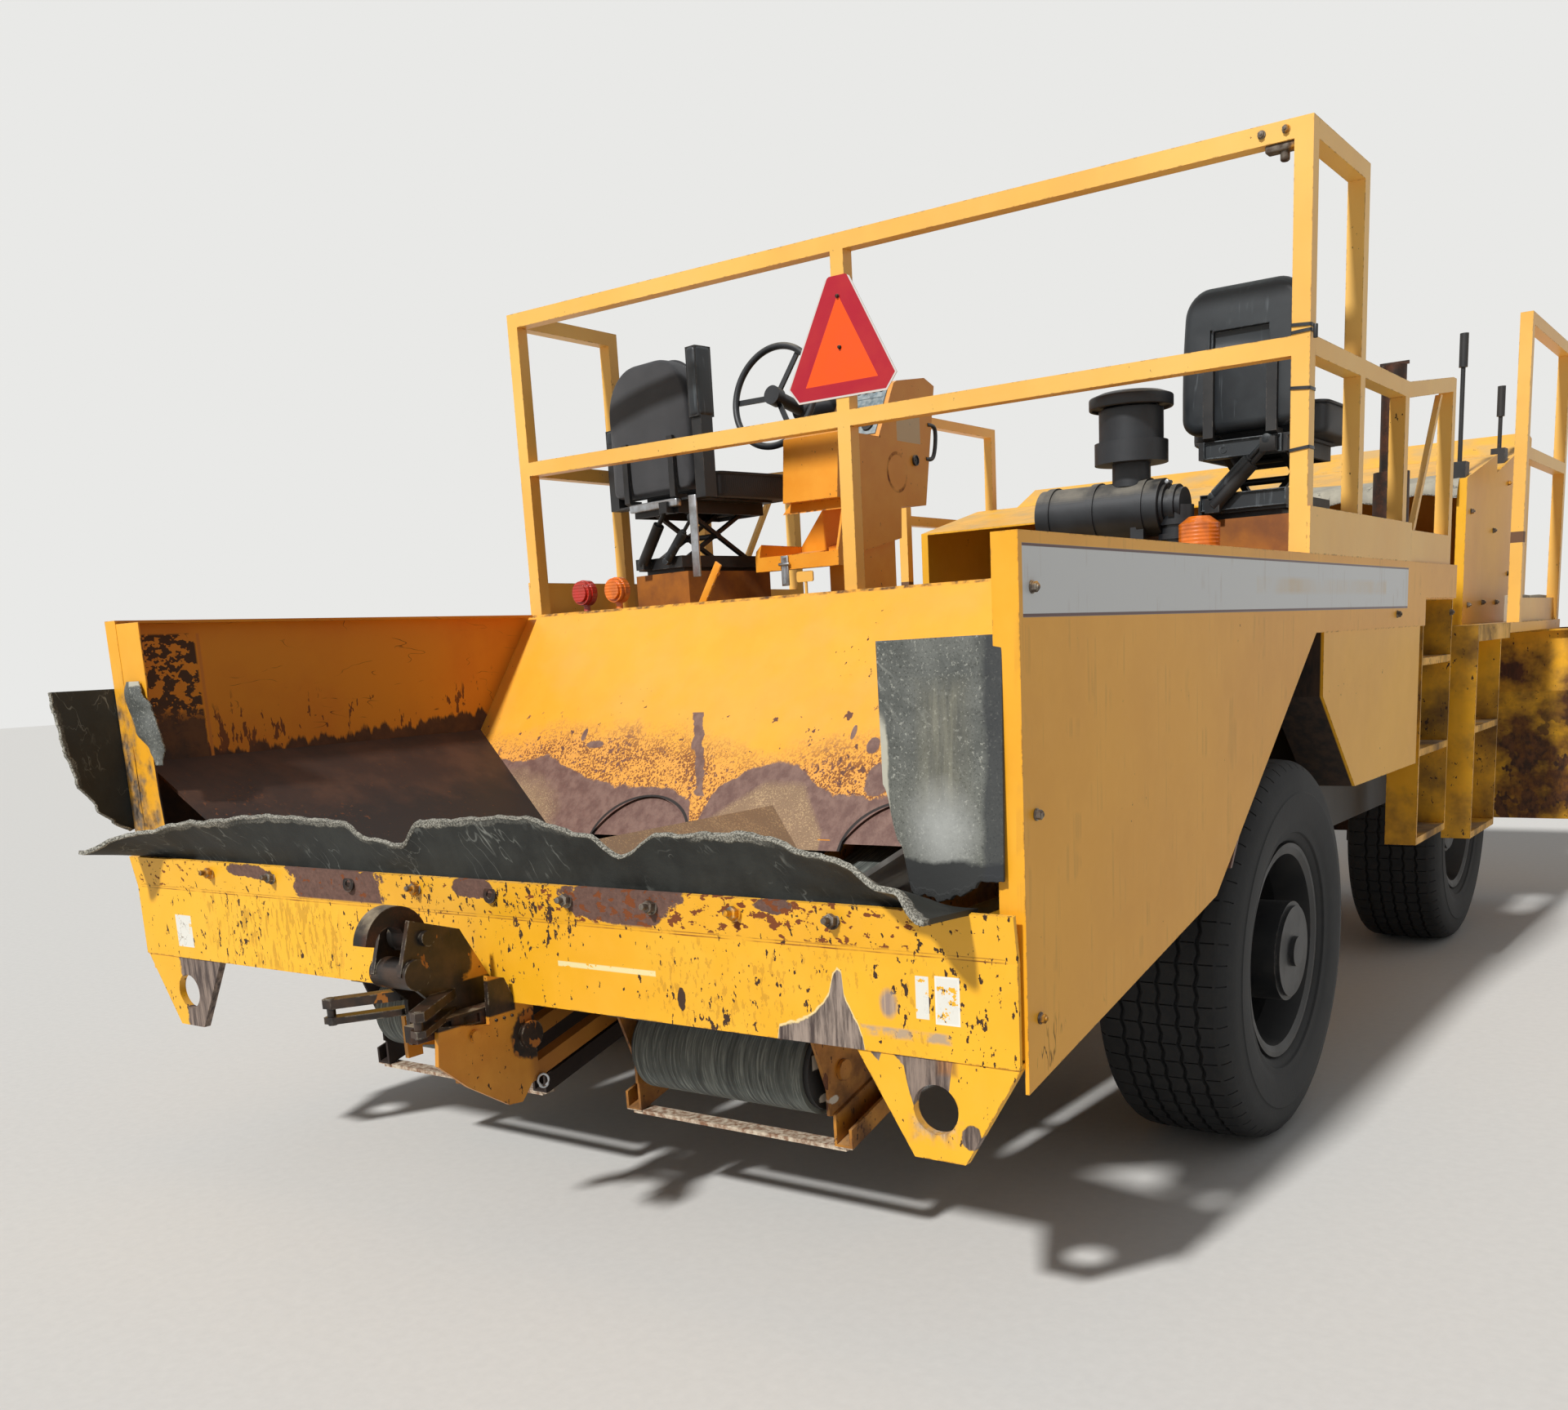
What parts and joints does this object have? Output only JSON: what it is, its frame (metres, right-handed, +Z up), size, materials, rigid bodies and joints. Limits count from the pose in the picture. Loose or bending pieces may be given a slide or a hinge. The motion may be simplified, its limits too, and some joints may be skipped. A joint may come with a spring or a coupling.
{
  "type": "chip spreader",
  "caption": "Self-propelled chip spreader: rear receiving bin, belt conveyors over the axles, operator deck with seats and guard rails, spread hopper with roll and gates in front.",
  "frame": {"origin": "on the ground under the middle of the machine", "axes": "+Y forwards to the spread hopper, +X to the machine's right, +Z up"},
  "size_m": [3.76, 6.1, 2.657],
  "materials": {
    "orange": "worn satin paint",
    "worn_steel": "polished by gravel, rusty",
    "dark_steel": "greasy, dark",
    "black_steel": "satin, dusty",
    "engine_paint": "dusty",
    "belt_rubber": "dusty",
    "flap_rubber": "chalky, scratched",
    "tyre": "dusty",
    "seat_cloth": "woven",
    "black_plastic": "matt",
    "emblem_red": "reflective sheet",
    "lamp_lens": "clear gloss"
  },
  "bodies": {
    "chassis": {"main_frame": "orange", "rear_beam": "orange", "tow_eyes": "orange", "side_panel_left": "orange", "side_panel_right": "orange", "side_boxes": "orange", "bin_front_wall": "orange", "bin_floor": "worn_steel", "conveyor_left": "orange", "conveyor_right": "orange", "belts": "belt_rubber", "rear_flap": "flap_rubber", "corner_flaps": "flap_rubber", "deck": "orange", "front_platform": "orange", "rear_rail": "orange", "side_rail_left": "orange", "side_rail_right": "orange", "front_rails": "orange", "rear_ladders": "orange", "front_ladders": "orange", "rear_axle": "dark_steel", "front_axle": "dark_steel", "spread_hopper": "orange", "discharge_hood": "orange", "engine_block": "engine_paint", "exhaust_stack": "dark_steel", "seat_frame_left": "black_steel", "seat_frame_right": "black_steel", "seat_pads_left": "seat_cloth", "seat_pads_right": "seat_cloth", "console": "orange", "steering_wheel": "black_plastic", "air_cleaner": "black_plastic", "emblem": "emblem_red", "lamps": "lamp_lens", "control_levers": "black_steel", "hitch_frame": "orange"},
    "wheel_body_rear_left": {"tyre_rear_left": "tyre", "wheel_rear_left": "black_steel"},
    "wheel_body_rear_right": {"tyre_rear_right": "tyre", "wheel_rear_right": "black_steel"},
    "steer_left": {"knuckle_left": "dark_steel"},
    "steer_right": {"knuckle_right": "dark_steel"},
    "wheel_body_front_left": {"tyre_front_left": "tyre", "wheel_front_left": "black_steel"},
    "wheel_body_front_right": {"tyre_front_right": "tyre", "wheel_front_right": "black_steel"},
    "roll": {"spread_roll": "worn_steel"},
    "gates": {"gate_bank": "orange"},
    "hook": {"hitch_hook": "dark_steel"}
  },
  "joints": [
    {"name": "rear_wheel_left_spin", "type": "hinge", "parent": "chassis", "child": "wheel_body_rear_left", "pos_m": [-1.247, -1.06, 0.53], "axis": [1, 0, 0], "continuous": true},
    {"name": "steer_left_turn", "type": "hinge", "parent": "chassis", "child": "steer_left", "pos_m": [-0.88, 1.86, 0.53], "axis": [0, 0, 1], "range_deg": [-25, 25]},
    {"name": "front_wheel_left_spin", "type": "hinge", "parent": "steer_left", "child": "wheel_body_front_left", "pos_m": [-1.107, 1.86, 0.53], "axis": [1, 0, 0], "continuous": true},
    {"name": "rear_wheel_right_spin", "type": "hinge", "parent": "chassis", "child": "wheel_body_rear_right", "pos_m": [1.247, -1.06, 0.53], "axis": [1, 0, 0], "continuous": true},
    {"name": "steer_right_turn", "type": "hinge", "parent": "chassis", "child": "steer_right", "pos_m": [0.88, 1.86, 0.53], "axis": [0, 0, 1], "range_deg": [-25, 25]},
    {"name": "front_wheel_right_spin", "type": "hinge", "parent": "steer_right", "child": "wheel_body_front_right", "pos_m": [1.107, 1.86, 0.53], "axis": [1, 0, 0], "continuous": true},
    {"name": "spread_roll_spin", "type": "hinge", "parent": "chassis", "child": "roll", "pos_m": [0, 2.885, 0.52], "axis": [1, 0, 0], "continuous": true},
    {"name": "gates_swing", "type": "hinge", "parent": "chassis", "child": "gates", "pos_m": [0, 3.008, 0.66], "axis": [1, 0, 0], "range_deg": [0, 35]},
    {"name": "hook_lift", "type": "hinge", "parent": "chassis", "child": "hook", "pos_m": [0, -2.912, 0.822], "axis": [1, 0, 0], "range_deg": [-50, 0]}
  ],
  "couplings": [
    {"joint": "steer_right_turn", "follows": "steer_left_turn", "ratio": 1}
  ]
}
